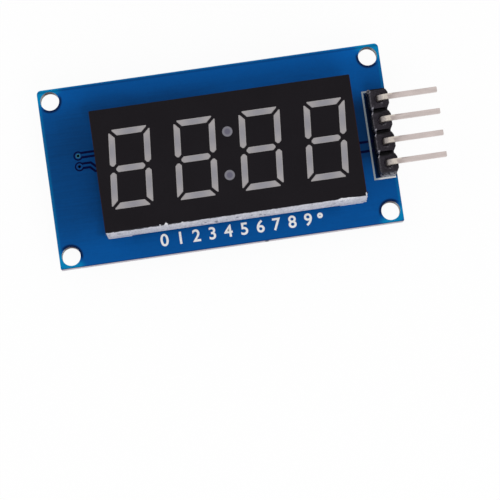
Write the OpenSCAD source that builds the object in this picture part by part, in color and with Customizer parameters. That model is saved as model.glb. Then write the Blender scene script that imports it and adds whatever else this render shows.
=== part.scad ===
// Display module: four seven segment digits and a colon on a printed circuit board.
// The origin is the centre of the mounting holes, on the back face of the board.
// +X points to the header pins, +Y to the tops of the digits, +Z out of the digits.

/* [Board] */
// Distance from the display to the board's left edge
margin_left = 5.95; // [5.7:0.05:8]
// Distance from the display to the board's right edge
margin_right = 4.35; // [4:0.05:6]
// Distance from the display to the board's top edge
margin_top = 4.35; // [3.5:0.05:6]
// Distance from the display to the board's bottom edge
margin_bottom = 2.75; // [2.5:0.05:5]
// Thickness of the board
board_t = 1.6; // [1:0.1:2]
// Radius of the board's two top corners
board_r = 0.5; // [0.2:0.1:1]
// Radius of the board's two bottom corners
board_low_r = 0.15; // [0.05:0.05:1]
// Diameter of the mounting holes
mount_hole_d = 2.2; // [1.8:0.1:2.4]
// Distance from a mounting hole's centre to both board edges
mount_inset = 1.4; // [1.3:0.1:1.8]
// Thickness of the tinned copper on the board's faces and in its holes
copper_t = 0.05; // [0.03:0.01:0.08]
// Width of the copper ring round a soldered hole
ring_w = 0.3; // [0.25:0.01:0.35]
// Clearance between a round piece and the hole that it sits in
seat_gap = 0.01; // [0.005:0.005:0.02]

/* [Display case] */
// How much longer the case is than the digits' pitches together
case_spare = 0.1; // [0:0.05:1]
// Distance from the digits to the case's top and bottom sides
case_margin = 2.48; // [2.2:0.02:3]
// Height of the display case above the board
case_h = 7.2; // [6.5:0.1:9]
// Radius of the case's upright edges
case_r = 0.15; // [0.1:0.05:0.4]
// Wall round the recess in the back of the case
case_wall = 1; // [0.8:0.1:1.1]
// Height of the feet at the case's corners
case_foot_h = 0.7; // [0.4:0.05:0.8]
// Length of a foot along each side of the case
case_foot_l = 2.8; // [1.5:0.1:4]
// Depth of the recess in the back of the case
recess_h = 2.2; // [2:0.1:2.8]
// Thickness of the black ink on the face
ink_t = 0.05; // [0.03:0.01:0.1]

/* [Digits] */
// Height of a digit over its outer edges
digit_h = 9.14; // [8.8:0.02:9.6]
// Width of a digit over its outer edges, before it leans
digit_w = 4.76; // [4.6:0.02:5]
// Distance from one digit to the next
digit_pitch = 7.5; // [7.3:0.05:7.7]
// Distance of the digits' centre from the case's centre, to the right
digits_x = 0.1; // [0:0.05:0.2]
// Lean of the digits to the right, in degrees
digit_lean = 5; // [0:0.5:8]
// Width of a segment's stroke
stroke_w = 0.73; // [0.65:0.01:0.85]
// Gap between neighbouring segments
stroke_gap = 0.34; // [0.2:0.01:0.4]
// How much of the sharp corner at a segment's mitred end is cut off
corner_cut = 0.14; // [0.08:0.01:0.16]
// How much of a segment's pointed end is cut off
tip_cut = 0.1; // [0.05:0.01:0.15]
// Diameter of a colon dot
dot_d = 1.2; // [1:0.1:1.3]
// Distance between the two colon dots
dot_pitch = 5; // [4.4:0.1:5.4]

/* [Light wells] */
// Width of the bare plastic rim that the ink leaves round each well
rim_w = 0.08; // [0.04:0.01:0.1]
// How far each end of a light well draws in towards the back
well_end_draft = 0.9; // [0.5:0.1:1.1]
// How far each long side of a light well draws in towards the back
well_side_draft = 0.08; // [0.02:0.01:0.14]
// How far a colon dot's well draws in towards the back
dot_draft = 0.2; // [0.05:0.05:0.3]
// Gap for resin between the wells and the chip board
bond_gap = 0.15; // [0.1:0.01:0.2]
// Thickness of the chip board
chip_board_t = 0.8; // [0.6:0.1:1]
// Gap round the chip board in the case's recess
chip_board_gap = 0.2; // [0.1:0.05:0.3]
// Gap between the resin's underside and the board
resin_gap = 0.9; // [0.8:0.05:1]
// Width of a light-emitting chip
chip_w = 0.25; // [0.2:0.01:0.35]
// Height of a light-emitting chip
chip_h = 0.12; // [0.08:0.01:0.2]

/* [Display pins] */
// Distance between neighbouring display pins
display_pitch = 2.54; // [2.4:0.01:2.6]
// Distance from a row of display pins to the case's nearest side
display_row_inset = 1.97; // [1.6:0.01:2.2]
// Diameter of a display pin
display_pin_d = 0.5; // [0.4:0.05:0.55]
// Length of a display pin below the board
display_pin_tail = 1.5; // [1.3:0.1:1.7]
// Thickness of the solder between a display pin and its plated hole
display_fill = 0.13; // [0.08:0.01:0.18]
// Height of the solder on a display pin, below the board
display_solder_h = 0.9; // [0.6:0.1:1.1]

/* [Header] */
// Distance from the header's pins to the board's right edge
header_inset = 1.05; // [1:0.05:1.3]
// Distance of the header's middle from the board's centre, upwards
header_y = -0.15; // [-0.4:0.05:0.4]
// Distance between neighbouring header pins
header_pitch = 2.54; // [2.5:0.01:2.6]
// Width of the header's block
header_w = 2.3; // [2.2:0.05:2.5]
// Height of the header's block
header_h = 2.54; // [2.3:0.02:2.8]
// Depth of the notches between the header's cells
notch_depth = 0.33; // [0.2:0.01:0.4]
// Length along the row that a notch takes from each cell
notch_reach = 0.62; // [0.4:0.01:0.7]
// Height of the relief under the header's block
header_relief = 0.2; // [0.1:0.05:0.3]
// Width of the groove across the block's top between cells
header_groove_w = 0.42; // [0.3:0.02:0.5]
// Depth of the groove between cells
header_groove_depth = 0.55; // [0.3:0.05:0.8]
// Diameter of the funnel round each pin in the block's top
header_mouth_d = 1.06; // [1:0.02:1.3]
// Depth of the funnel round each pin
header_mouth_depth = 0.3; // [0.2:0.05:0.6]
// Width of the square header pins
header_pin_w = 0.6; // [0.5:0.01:0.64]
// Distance from a header pin's upright leg to its tip
header_pin_reach = 6.75; // [5:0.05:9]
// Length of a header pin below the board
header_pin_tail = 1.8; // [1.5:0.1:2.2]
// Inner radius of a header pin's bend
header_bend_r = 0.6; // [0.3:0.05:0.8]
// Bevel at the ends of a header pin
header_pin_bevel = 0.05; // [0.03:0.01:0.2]
// Thickness of the solder between a header pin's corners and its plated hole
header_fill = 0.04; // [0.02:0.01:0.08]
// Height of the solder on a header pin, below the board
header_solder_h = 1.1; // [0.8:0.1:1.3]

/* [Driver chip] */
// Distance from the chip's pads to the board's left edge
driver_edge = 1.25; // [1:0.05:1.5]
// Distance of the chip's centre from the board's centre, upwards
driver_y = 0.44; // [-0.4:0.02:0.6]
// Distance from the last lead of a row to the end of the chip's body
driver_end = 0.69; // [0.6:0.01:0.9]
// Width of the chip's body
driver_w = 7.5; // [7.2:0.1:7.7]
// Height of the chip's body
driver_h = 2.25; // [1.9:0.05:2.5]
// Slope of the body's sides, as a distance
driver_draft = 0.15; // [0.05:0.01:0.25]
// Height of the chip's body above the feet of its leads
driver_stand = 0.12; // [0.08:0.01:0.2]
// Distance between neighbouring leads
lead_pitch = 1.27; // [1.25:0.01:1.27]
// Width of a lead
lead_w = 0.4; // [0.35:0.01:0.5]
// Thickness of a lead
lead_t = 0.25; // [0.2:0.01:0.3]
// Length of a lead's flat foot
lead_foot = 0.71; // [0.65:0.01:0.78]
// Length of a lead before its first bend
lead_shoulder = 0.2; // [0.15:0.01:0.25]
// Inner radius of a lead's bends
lead_bend_r = 0.12; // [0.08:0.01:0.15]
// Diameter of the round mark at the chip's first lead
driver_mark_d = 1.2; // [0.8:0.1:1.4]
// Depth of the round mark
driver_mark_depth = 0.1; // [0.05:0.01:0.15]

/* [Small parts] */
// Length of a resistor or capacitor
small_l = 2; // [1.8:0.05:2.2]
// Width of a resistor or capacitor
small_w = 1.25; // [1:0.05:1.4]
// Height of a resistor
resistor_h = 0.55; // [0.4:0.05:0.7]
// Height of a capacitor
capacitor_h = 0.85; // [0.7:0.05:1.25]
// Length of a metal end
end_l = 0.4; // [0.3:0.05:0.5]
// Thickness of a metal end's coat
end_t = 0.05; // [0.03:0.01:0.08]
// Thickness of the solder under feet and metal ends
solder_t = 0.05; // [0.03:0.01:0.08]
// Length of the solder beyond feet and metal ends
solder_toe = 0.3; // [0.2:0.05:0.35]
// How far the solder climbs a lead's toe
lead_climb = 0.15; // [0.08:0.01:0.18]
// How far the solder climbs a metal end
end_climb = 0.3; // [0.15:0.05:0.35]
// Drilled diameter of a via
via_d = 0.4; // [0.35:0.05:0.5]
// Width of a via's copper ring
via_ring_w = 0.18; // [0.12:0.01:0.22]
// Distance of the vias from the chip's centre, to the left
via_inset = 2.9; // [2.7:0.1:3.2]

/* [Hidden] */
$fn = 48;
DIGITS = 4;
DISPLAY_PINS = 12;
HEADER_PINS = 4;
LEADS = 20;
cut = 0.5;
solder_lip = 0.03;

// The display's outline, and the board round it
case_l = DIGITS * digit_pitch + case_spare;
case_w = digit_h + 2 * case_margin;
board_l = margin_left + case_l + margin_right;
board_w = margin_bottom + case_w + margin_top;
case_x = (margin_left - margin_right) / 2;
case_y = (margin_bottom - margin_top) / 2;
recess_l = case_l - 2 * case_wall;
recess_w = case_w - 2 * case_wall;

// Heights, counted from the back face of the board
face_z = board_t + case_h;
ink_z = face_z - ink_t;
well_z = board_t + recess_h;
chip_board_top = well_z - bond_gap;
chip_board_z = chip_board_top - chip_board_t;
resin_z = board_t + resin_gap;
header_top = board_t + header_h;
foot_z = copper_t + solder_t;
driver_z = foot_z + driver_stand;

// Drilled holes and their copper rings
display_hole_d = display_pin_d + 2 * (seat_gap + display_fill + seat_gap + copper_t);
header_hole_d = header_pin_w * sqrt(2) + 2 * (header_fill + seat_gap + copper_t);
display_ring_d = display_hole_d + 2 * ring_w;
header_ring_d = header_hole_d + 2 * ring_w;
via_ring_d = via_d + 2 * via_ring_w;

// The lower face of a lead's foot runs from its heel to its toe
lead_heel = driver_w / 2 + lead_shoulder + lead_t + 2 * lead_bend_r;
lead_toe = lead_heel + lead_foot;
lead_row_l = (LEADS / 2 - 1) * lead_pitch;
driver_l = lead_row_l + 2 * driver_end;

// Places on the board
header_x = board_l / 2 - header_inset;
driver_x = driver_edge + solder_toe + lead_toe - board_l / 2;
via_rows = [0.5, 1.5];

// Each small part: its distance from the header's pins and from the board's centre
resistor_places = [[3.9, 3.4], [3.9, 0.9]];
capacitor_places = [[3.9, -1.7], [3.9, -4.3], [7.9, 2.2], [7.9, -2.8]];

// A digit's middle lines, and the share of the gap that each mitred end gives up
half_stroke = stroke_w / 2;
upright_x = digit_w / 2 - half_stroke;
level_y = digit_h / 2 - half_stroke;
end_gap = stroke_gap / sqrt(2);

// Each segment: its origin, turn, mirror, two ends along its length, and which ends are mitred
level_end = upright_x - end_gap + half_stroke;
upright_end = level_y - end_gap + half_stroke;
middle_end = upright_x - end_gap;
SEGMENTS = [
    [[0, level_y], 0, 1, -level_end, level_end, 1, 1],
    [[upright_x, 0], 90, -1, end_gap, upright_end, 0, 1],
    [[upright_x, 0], -90, 1, end_gap, upright_end, 0, 1],
    [[0, -level_y], 180, 1, -level_end, level_end, 1, 1],
    [[-upright_x, 0], -90, -1, end_gap, upright_end, 0, 1],
    [[-upright_x, 0], 90, 1, end_gap, upright_end, 0, 1],
    [[0, 0], 0, 1, -middle_end, middle_end, 0, 0]
];

// Flat outlines

module rounded_outline(l, w, r) {
    square([l - 2 * r, w], center = true);
    square([l, w - 2 * r], center = true);
    for (x = [-1, 1], y = [-1, 1])
        translate([x * (l / 2 - r), y * (w / 2 - r)]) circle(r);
}

// A plate whose top corners and bottom corners have radii of their own
module board_outline() {
    difference() {
        square([board_l, board_w], center = true);
        for (x = [-1, 1]) {
            translate([x * board_l / 2, board_w / 2]) corner_waste(x, 1, board_r);
            translate([x * board_l / 2, -board_w / 2]) corner_waste(x, -1, board_low_r);
        }
    }
}

// What a radius takes off a corner that points towards x and y
module corner_waste(x, y, r) {
    scale([x, y]) translate([-r, -r]) difference() {
        square(r + cut);
        circle(r);
    }
}

module quarter_ring(inner, outer) {
    intersection() {
        difference() {
            circle(outer);
            circle(inner);
        }
        square(outer + cut);
    }
}

// The end of a segment, with its outer side up: mitred with a cut corner, or pointed with a cut tip
function end_points(u, h, mitred) = mitred
    ? [[u - corner_cut, h], [u - corner_cut, h - corner_cut], [u - 2 * h, -h]]
    : [[u - h, h], [u - tip_cut, tip_cut], [u - tip_cut, -tip_cut], [u - h, -h]];

function reversed(points) = [for (i = [len(points) - 1:-1:0]) points[i]];

function turned(p, a) = [p.x * cos(a) - p.y * sin(a), p.x * sin(a) + p.y * cos(a)];

function leaned(p) = [p.x + p.y * tan(digit_lean), p.y];

// Outline of one segment, drawn in by e at its ends and by w along its sides, clockwise
function segment_outline(s, e, w) =
    let (h = half_stroke - w)
    let (far = end_points(s[4] - e, h, s[6] == 1))
    let (near = [for (p = reversed(end_points(-s[3] - e, h, s[5] == 1))) [-p.x, p.y]])
    let (flat = [for (p = concat(far, near)) [p.x, s[2] * p.y]])
    let (placed = [for (p = flat) leaned(s[0] + turned(p, s[1]))])
    s[2] == 1 ? placed : reversed(placed);

function segment_middle(s) =
    leaned(s[0] + turned([(s[3] + s[4] + (s[5] - s[6]) * half_stroke) / 2, 0], s[1]));

function digit_x(i) = digits_x + (i - (DIGITS - 1) / 2) * digit_pitch;

function dot_place(side) = leaned([0, side * dot_pitch / 2]) + [digits_x, 0];

// Pieces of solid shape

module block(x0, x1, y0, y1, z0, z1) {
    translate([x0, y0, z0]) cube([x1 - x0, y1 - y0, z1 - z0]);
}

// A side view drawn in X and Z, made l long along Y
module upright_prism(l) {
    rotate([90, 0, 0]) translate([0, 0, -l / 2]) linear_extrude(l) children();
}

module on_case() {
    translate([case_x, case_y, 0]) children();
}

// Parts on the back face stand upside down
module on_back(x, y) {
    translate([x, y, 0]) mirror([0, 0, 1]) children();
}

// A loft from the chip board's side up through the face, run on by the cut at both ends,
// and drawn in all round by the rim
module light_well(s, rim) {
    over = cut / (face_z - well_z);
    wide = segment_outline(s, rim - well_end_draft * over, rim - well_side_draft * over);
    narrow = segment_outline(s, rim + well_end_draft * (1 + over), rim + well_side_draft * (1 + over));
    top = [for (p = wide) [p.x, p.y, face_z + cut]];
    bottom = [for (p = narrow) [p.x, p.y, well_z - cut]];
    n = len(top);
    sides = [for (i = [0:n - 1]) [i, (i + 1) % n, n + (i + 1) % n, n + i]];
    caps = [[for (i = [n - 1:-1:0]) i], [for (i = [0:n - 1]) n + i]];
    polyhedron(concat(bottom, top), concat(sides, caps));
}

module dot_well(rim) {
    slope = dot_draft / (face_z - well_z);
    rise = face_z - well_z + 2 * cut;
    r = dot_d / 2 - rim + slope * cut;
    translate([0, 0, well_z - cut]) cylinder(h = rise, r1 = r - slope * rise, r2 = r);
}

module all_wells(rim) {
    for (i = [0:DIGITS - 1], s = SEGMENTS)
        translate([digit_x(i), 0, 0]) light_well(s, rim);
    for (side = [-1, 1])
        translate(dot_place(side)) dot_well(rim);
}

module light_chip() {
    translate([0, 0, chip_board_top + chip_h / 2]) cube([chip_w, chip_w, chip_h], center = true);
}

module at_display_pins() {
    for (i = [0:DISPLAY_PINS - 1]) at_display_pin(i) children();
}

module at_display_pin(i) {
    side = i < DISPLAY_PINS / 2 ? -1 : 1;
    step = i % (DISPLAY_PINS / 2) - (DISPLAY_PINS / 2 - 1) / 2;
    y = case_w / 2 - display_row_inset;
    on_case() translate([step * display_pitch, side * y, 0]) children();
}

module at_header_pin(i) {
    translate([header_x, header_y + ((HEADER_PINS - 1) / 2 - i) * header_pitch, 0]) children();
}

module at_header_pins() {
    for (i = [0:HEADER_PINS - 1]) at_header_pin(i) children();
}

module at_vias() {
    for (row = via_rows)
        translate([driver_x - via_inset, driver_y + row * lead_pitch, 0]) children();
}

// A hole through the board for one plated barrel
module barrel_hole(d) {
    translate([0, 0, -cut]) cylinder(h = board_t + 2 * cut, d = d + 2 * seat_gap);
}

// A copper barrel with a ring on each face of the board
module plated_hole(d, ring_d) {
    r = d / 2;
    rotate_extrude() polygon([
        [r - copper_t, -copper_t], [ring_d / 2, -copper_t], [ring_d / 2, 0], [r, 0],
        [r, board_t], [ring_d / 2, board_t], [ring_d / 2, board_t + copper_t],
        [r - copper_t, board_t + copper_t]
    ]);
}

// Solder that fills a plated hole and climbs the pin on the back in a hollow curve
module solder_joint(hole_d, ring_d, pin_r, rise) {
    r = hole_d / 2 - copper_t - seat_gap;
    foot = ring_d / 2 - copper_t;
    steps = 6;
    top = pin_r + solder_lip;
    curve = [for (i = [0:steps]) let (a = 90 * i / steps)
        [foot - (foot - top) * sin(a), -copper_t - rise * (1 - cos(a))]];
    barrel = [[0, board_t], [r, board_t], [r, -copper_t]];
    rotate_extrude() polygon(concat(barrel, curve, [[0, -copper_t - rise]]));
}

// A square bar along +X with its far end bevelled
module square_bar(l, w, bevel) {
    outline = [
        [0, -w / 2], [l - bevel, -w / 2], [l, bevel - w / 2],
        [l, w / 2 - bevel], [l - bevel, w / 2], [0, w / 2]
    ];
    intersection() {
        translate([0, 0, -w / 2]) linear_extrude(w) polygon(outline);
        upright_prism(w) polygon(outline);
    }
}

// Board

module circuit_board() {
    color("royalblue") difference() {
        linear_extrude(board_t) board_outline();
        for (x = [-1, 1], y = [-1, 1])
            translate([x * (board_l / 2 - mount_inset), y * (board_w / 2 - mount_inset), -cut])
                cylinder(h = board_t + 2 * cut, d = mount_hole_d);
        at_display_pins() barrel_hole(display_hole_d);
        at_header_pins() barrel_hole(header_hole_d);
        at_vias() barrel_hole(via_d);
    }
}

module via_plating() {
    color("teal") at_vias() plated_hole(via_d, via_ring_d);
}

module display_hole_plating() {
    color("silver") at_display_pins() plated_hole(display_hole_d, display_ring_d);
}

module header_hole_plating() {
    color("silver") at_header_pins() plated_hole(header_hole_d, header_ring_d);
}

module surface_pads() {
    color("silver") {
        on_back(driver_x, driver_y) at_leads()
            pad(lead_heel, lead_toe + solder_toe, lead_w + 2 * copper_t);
        at_small_parts(concat(resistor_places, capacitor_places)) at_both_ends()
            pad(small_l / 2 - end_l, small_l / 2 + solder_toe, small_w);
    }
}

module pad(x0, x1, w) {
    block(x0, x1, -w / 2, w / 2, 0, copper_t);
}

// Display

module display_case() {
    between_x = case_l / 2 - case_foot_l;
    between_y = case_w / 2 - case_foot_l;
    foot_top = board_t + case_foot_h;
    color("whitesmoke") on_case() difference() {
        translate([0, 0, board_t]) linear_extrude(case_h - ink_t) rounded_outline(case_l, case_w, case_r);
        block(-recess_l / 2, recess_l / 2, -recess_w / 2, recess_w / 2, board_t - cut, well_z);
        block(-between_x, between_x, -case_w, case_w, board_t - cut, foot_top);
        block(-case_l, case_l, -between_y, between_y, board_t - cut, foot_top);
        all_wells(rim_w);
    }
}

module face_ink() {
    color("black") on_case() difference() {
        translate([0, 0, ink_z]) linear_extrude(ink_t) rounded_outline(case_l, case_w, case_r);
        all_wells(0);
    }
}

// One casting fills the wells, the gap over the chip board and the recess behind it
module light_resin() {
    color("lightgray") difference() {
        on_case() union() {
            block(-recess_l / 2, recess_l / 2, -recess_w / 2, recess_w / 2, resin_z, well_z);
            intersection() {
                all_wells(rim_w);
                block(-case_l, case_l, -case_w, case_w, well_z - bond_gap / 2, ink_z);
            }
        }
        on_case() chip_board_blank();
        on_case() for (i = [0:DIGITS - 1], s = SEGMENTS)
            translate([digit_x(i), 0, 0] + [segment_middle(s).x, segment_middle(s).y, 0]) light_chip();
        on_case() for (side = [-1, 1]) translate(dot_place(side)) light_chip();
        at_display_pins() display_pin_hole();
    }
}

module chip_board_blank() {
    x = recess_l / 2 - chip_board_gap;
    y = recess_w / 2 - chip_board_gap;
    block(-x, x, -y, y, chip_board_z, chip_board_top);
}

module display_pin_hole() {
    translate([0, 0, resin_z - cut])
        cylinder(h = chip_board_top - resin_z + cut, d = display_pin_d + 2 * seat_gap);
}

module chip_board() {
    color("darkgreen") difference() {
        on_case() chip_board_blank();
        at_display_pins() translate([0, 0, cut]) display_pin_hole();
    }
}

module digit_chips(i) {
    color("gold") on_case() translate([digit_x(i), 0, 0])
        for (s = SEGMENTS) translate(segment_middle(s)) light_chip();
}

module colon_chips() {
    color("gold") on_case() for (side = [-1, 1]) translate(dot_place(side)) light_chip();
}

module display_pin(i) {
    tip = display_pin_d / 4;
    color("lightsteelblue") at_display_pin(i) {
        translate([0, 0, tip - display_pin_tail])
            cylinder(h = chip_board_top + display_pin_tail - tip, d = display_pin_d);
        translate([0, 0, -display_pin_tail]) cylinder(h = tip, d1 = display_pin_d - tip, d2 = display_pin_d);
    }
}

module display_solder() {
    color("gainsboro") at_display_pins() difference() {
        solder_joint(display_hole_d, display_ring_d, display_pin_d / 2 + seat_gap, display_solder_h);
        translate([0, 0, -display_pin_tail - cut])
            cylinder(h = board_t + display_pin_tail + 2 * cut, d = display_pin_d + 2 * seat_gap);
    }
}

// Header

// Half of the block's outline down one side, with a notch at the ends of each cell
function header_side(i) =
    let (y = ((HEADER_PINS - 1) / 2 - i) * header_pitch)
    let (x = header_w / 2)
    [[x - notch_depth, y + header_pitch / 2], [x, y + header_pitch / 2 - notch_reach],
        [x, y - header_pitch / 2 + notch_reach], [x - notch_depth, y - header_pitch / 2]];

module header_block() {
    right = [for (i = [0:HEADER_PINS - 1]) for (p = header_side(i)) p];
    left = [for (p = reversed(right)) [-p.x, p.y]];
    relief_x = header_ring_d / 2 + 2 * seat_gap;
    throat_d = header_pin_w * sqrt(2) + 2 * seat_gap;
    color("dimgray") difference() {
        translate([header_x, header_y, board_t]) linear_extrude(header_h) polygon(concat(right, left));
        translate([header_x, header_y, board_t])
            block(-relief_x, relief_x, -board_w, board_w, -cut, header_relief);
        for (i = [0:HEADER_PINS])
            translate([header_x, header_y + (HEADER_PINS / 2 - i) * header_pitch, header_top]) cell_groove();
        at_header_pins() {
            header_pin_hole(0);
            translate([0, 0, header_top - header_mouth_depth])
                cylinder(h = header_mouth_depth, d1 = throat_d, d2 = header_mouth_d);
        }
    }
}

// A groove across the block's top that narrows towards its floor
module cell_groove() {
    y = header_groove_w / 2;
    z = -header_groove_depth;
    rotate([0, 0, 90]) upright_prism(2 * header_w)
        polygon([[-y, 0], [-y / 2, z], [y / 2, z], [y, 0], [y, cut], [-y, cut]]);
}

// The square hole that a header pin's leg fills, from z0 up through the block
module header_pin_hole(z0) {
    w = header_pin_w;
    block(-w / 2, w / 2, -w / 2, w / 2, z0, header_top + cut);
}

module header_pin(i) {
    w = header_pin_w;
    color("lightgray") at_header_pin(i) {
        translate([0, 0, header_top]) rotate([0, 90, 0])
            square_bar(header_top + header_pin_tail, w, header_pin_bevel);
        translate([w / 2 + header_bend_r, 0, header_top]) {
            upright_prism(w) mirror([1, 0, 0]) quarter_ring(header_bend_r, header_bend_r + w);
            translate([0, 0, header_bend_r + w / 2])
                square_bar(header_pin_reach - w / 2 - header_bend_r, w, header_pin_bevel);
        }
    }
}

module header_solder() {
    color("gainsboro") at_header_pins() difference() {
        solder_joint(header_hole_d, header_ring_d, header_pin_w / sqrt(2), header_solder_h);
        header_pin_hole(-header_pin_tail);
    }
}

// Driver chip

// Children lie at the first lead's place and repeat along both rows
module at_leads() {
    for (turn = [0, 180], k = [0:LEADS / 2 - 1])
        rotate([0, 0, turn]) translate([0, k * lead_pitch - lead_row_l / 2, 0]) children();
}

// Side view of the moulded body, widest at the parting line
module driver_outline(l) {
    half = l / 2;
    top = driver_z + driver_h;
    polygon([
        [driver_draft - half, driver_z], [half - driver_draft, driver_z], [half, driver_z + driver_h / 2],
        [half - driver_draft, top], [driver_draft - half, top], [-half, driver_z + driver_h / 2]
    ]);
}

module driver_chip() {
    edge = driver_draft + driver_mark_d;
    color("darkslategray") on_back(driver_x, driver_y) difference() {
        intersection() {
            upright_prism(2 * driver_l) driver_outline(driver_w);
            rotate([0, 0, 90]) upright_prism(2 * driver_w) driver_outline(driver_l);
        }
        translate([driver_w / 2 - edge, driver_l / 2 - edge, driver_z + driver_h - driver_mark_depth])
            cylinder(h = driver_mark_depth + cut, d = driver_mark_d);
    }
}

// Side view of one gull-wing lead: shoulder, upper bend, leg, lower bend and foot
module lead_outline() {
    shoulder_z = driver_z + driver_h / 2 - lead_t / 2;
    bend_x = driver_w / 2 + lead_shoulder;
    r = lead_bend_r;
    translate([driver_w / 2, shoulder_z]) square([lead_shoulder, lead_t]);
    translate([bend_x, shoulder_z - r]) quarter_ring(r, r + lead_t);
    translate([bend_x + r, foot_z + lead_t + r]) square([lead_t, shoulder_z - foot_z - lead_t - 2 * r]);
    translate([lead_heel, foot_z + lead_t + r]) rotate(180) quarter_ring(r, r + lead_t);
    translate([lead_heel, foot_z]) square([lead_toe - lead_heel, lead_t]);
}

module driver_leads() {
    color("silver") on_back(driver_x, driver_y) at_leads() upright_prism(lead_w) lead_outline();
}

// Side view of the solder under a foot or metal end, climbing its outer face
module solder_outline(heel, toe, climb) {
    face = [[toe + solder_toe, copper_t], [toe, foot_z + climb], [toe, foot_z]];
    polygon(concat([[heel, copper_t]], face, [[heel, foot_z]]));
}

module driver_solder() {
    color("gainsboro") on_back(driver_x, driver_y) at_leads()
        upright_prism(lead_w) solder_outline(lead_heel, lead_toe, lead_climb);
}

// Resistors and capacitors

module at_small_part(place) {
    on_back(header_x - place.x, place.y) children();
}

module at_small_parts(places) {
    for (place = places) at_small_part(place) children();
}

module at_both_ends() {
    for (turn = [0, 180]) rotate([0, 0, turn]) children();
}

// The ceramic reaches into the metal ends, which stand out round it by their own thickness
module ceramic_block(h) {
    coat = 2 * end_t;
    translate([0, 0, foot_z + h / 2]) cube([small_l - coat, small_w - coat, h - coat], center = true);
}

module metal_ends(h) {
    y = small_w / 2;
    difference() {
        at_both_ends() block(small_l / 2 - end_l, small_l / 2, -y, y, foot_z, foot_z + h);
        ceramic_block(h);
    }
}

module resistor(i) {
    color("dimgray") at_small_part(resistor_places[i]) ceramic_block(resistor_h);
}

module capacitor(i) {
    color("tan") at_small_part(capacitor_places[i]) ceramic_block(capacitor_h);
}

module resistor_ends() {
    color("silver") at_small_parts(resistor_places) metal_ends(resistor_h);
}

module capacitor_ends() {
    color("silver") at_small_parts(capacitor_places) metal_ends(capacitor_h);
}

module small_part_solder() {
    color("gainsboro") at_small_parts(concat(resistor_places, capacitor_places)) at_both_ends()
        upright_prism(small_w) solder_outline(small_l / 2 - end_l, small_l / 2, end_climb);
}

circuit_board();
via_plating();
display_hole_plating();
header_hole_plating();
surface_pads();
display_case();
face_ink();
light_resin();
chip_board();
colon_chips();
for (i = [1:DIGITS])
    digit_chips(i - 1);
for (i = [1:DISPLAY_PINS])
    display_pin(i - 1);
display_solder();
header_block();
header_solder();
for (i = [1:HEADER_PINS])
    header_pin(i - 1);
driver_chip();
driver_leads();
driver_solder();
for (i = [1:len(resistor_places)])
    resistor(i - 1);
for (i = [1:len(capacitor_places)])
    capacitor(i - 1);
resistor_ends();
capacitor_ends();
small_part_solder();
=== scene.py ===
"""Finish and stage of a seven segment display module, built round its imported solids."""

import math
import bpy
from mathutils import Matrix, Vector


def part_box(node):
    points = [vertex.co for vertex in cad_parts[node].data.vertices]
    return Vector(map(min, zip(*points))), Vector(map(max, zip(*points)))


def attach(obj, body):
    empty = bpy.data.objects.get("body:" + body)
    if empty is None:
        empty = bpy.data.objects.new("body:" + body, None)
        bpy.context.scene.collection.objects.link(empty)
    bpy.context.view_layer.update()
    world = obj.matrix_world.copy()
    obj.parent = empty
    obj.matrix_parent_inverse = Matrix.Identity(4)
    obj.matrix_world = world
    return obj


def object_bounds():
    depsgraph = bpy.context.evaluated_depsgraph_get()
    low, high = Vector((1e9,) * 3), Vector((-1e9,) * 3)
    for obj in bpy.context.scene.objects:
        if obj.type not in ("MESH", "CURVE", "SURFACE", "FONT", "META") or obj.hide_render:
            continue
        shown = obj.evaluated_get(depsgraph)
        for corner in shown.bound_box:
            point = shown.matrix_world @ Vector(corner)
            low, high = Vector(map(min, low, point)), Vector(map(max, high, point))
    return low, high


bl_info = {
    "name": "Display module finish",
    "version": (1, 0, 0),
    "blender": (4, 5, 0),
    "location": "View3D > Sidebar > Display module",
    "description": "Dresses the solids of a seven segment display module and sets its stage",
    "category": "Object",
}

import bmesh
import bpy
from bpy.props import FloatProperty, FloatVectorProperty, PointerProperty
from bpy.types import NodeSocket, Operator, Panel, PropertyGroup
from mathutils import Matrix, Vector

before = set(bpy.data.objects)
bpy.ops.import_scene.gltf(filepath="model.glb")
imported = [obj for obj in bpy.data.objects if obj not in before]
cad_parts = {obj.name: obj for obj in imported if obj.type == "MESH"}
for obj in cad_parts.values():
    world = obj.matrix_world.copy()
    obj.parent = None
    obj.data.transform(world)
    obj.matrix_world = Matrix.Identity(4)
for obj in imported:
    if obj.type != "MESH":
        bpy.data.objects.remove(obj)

MM = 0.001
CAD_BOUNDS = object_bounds()


def box_mm(node):
    """Lowest and highest corner of a CAD node, in millimetres."""
    low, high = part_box(node)
    return low / MM, high / MM


def middle_mm(node):
    """Middle of a CAD node's box, in millimetres."""
    low, high = box_mm(node)
    return (low + high) / 2


def numbered(name, count):
    """Names of like CAD nodes, numbered from 1."""
    return [f"{name}_{i}" for i in range(1, count + 1)]


BOARD_LOW, BOARD_HIGH = box_mm("circuit_board")
CASE_LOW, CASE_HIGH = box_mm("display_case")
INK_LOW, INK_HIGH = box_mm("face_ink")
BLOCK_LOW, BLOCK_HIGH = box_mm("header_block")
DRIVER_LOW, DRIVER_HIGH = box_mm("driver_chip")
LEADS_LOW, LEADS_HIGH = box_mm("driver_leads")
VIAS_LOW, VIAS_HIGH = box_mm("via_plating")
DOTS_LOW, DOTS_HIGH = box_mm("colon_chips")

# Sizes inside the solids that no box of theirs gives, in millimetres
HEADER_PITCH = 2.54
LEAD_PITCH = 1.27
LEADS_IN_ROW = 10
CHIP = 0.25
MOUNT_INSET = 1.4
VIA_RADIUS = 0.38
DIGIT_LEAN = math.tan(math.radians(5))

# Sides of the front's copper tracks, in millimetres off a via's middle and off the board's
VIA_TRACK_SIDES = (0.31, -0.22)
HEADER_TRACK_SIDES = (-0.82, -1.92)

# The print's font: a numeral's height as a share of the font's size, and how much its strokes swell
NUMERAL_SHARE = 0.73
NUMERAL_SWELL = 0.035

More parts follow.
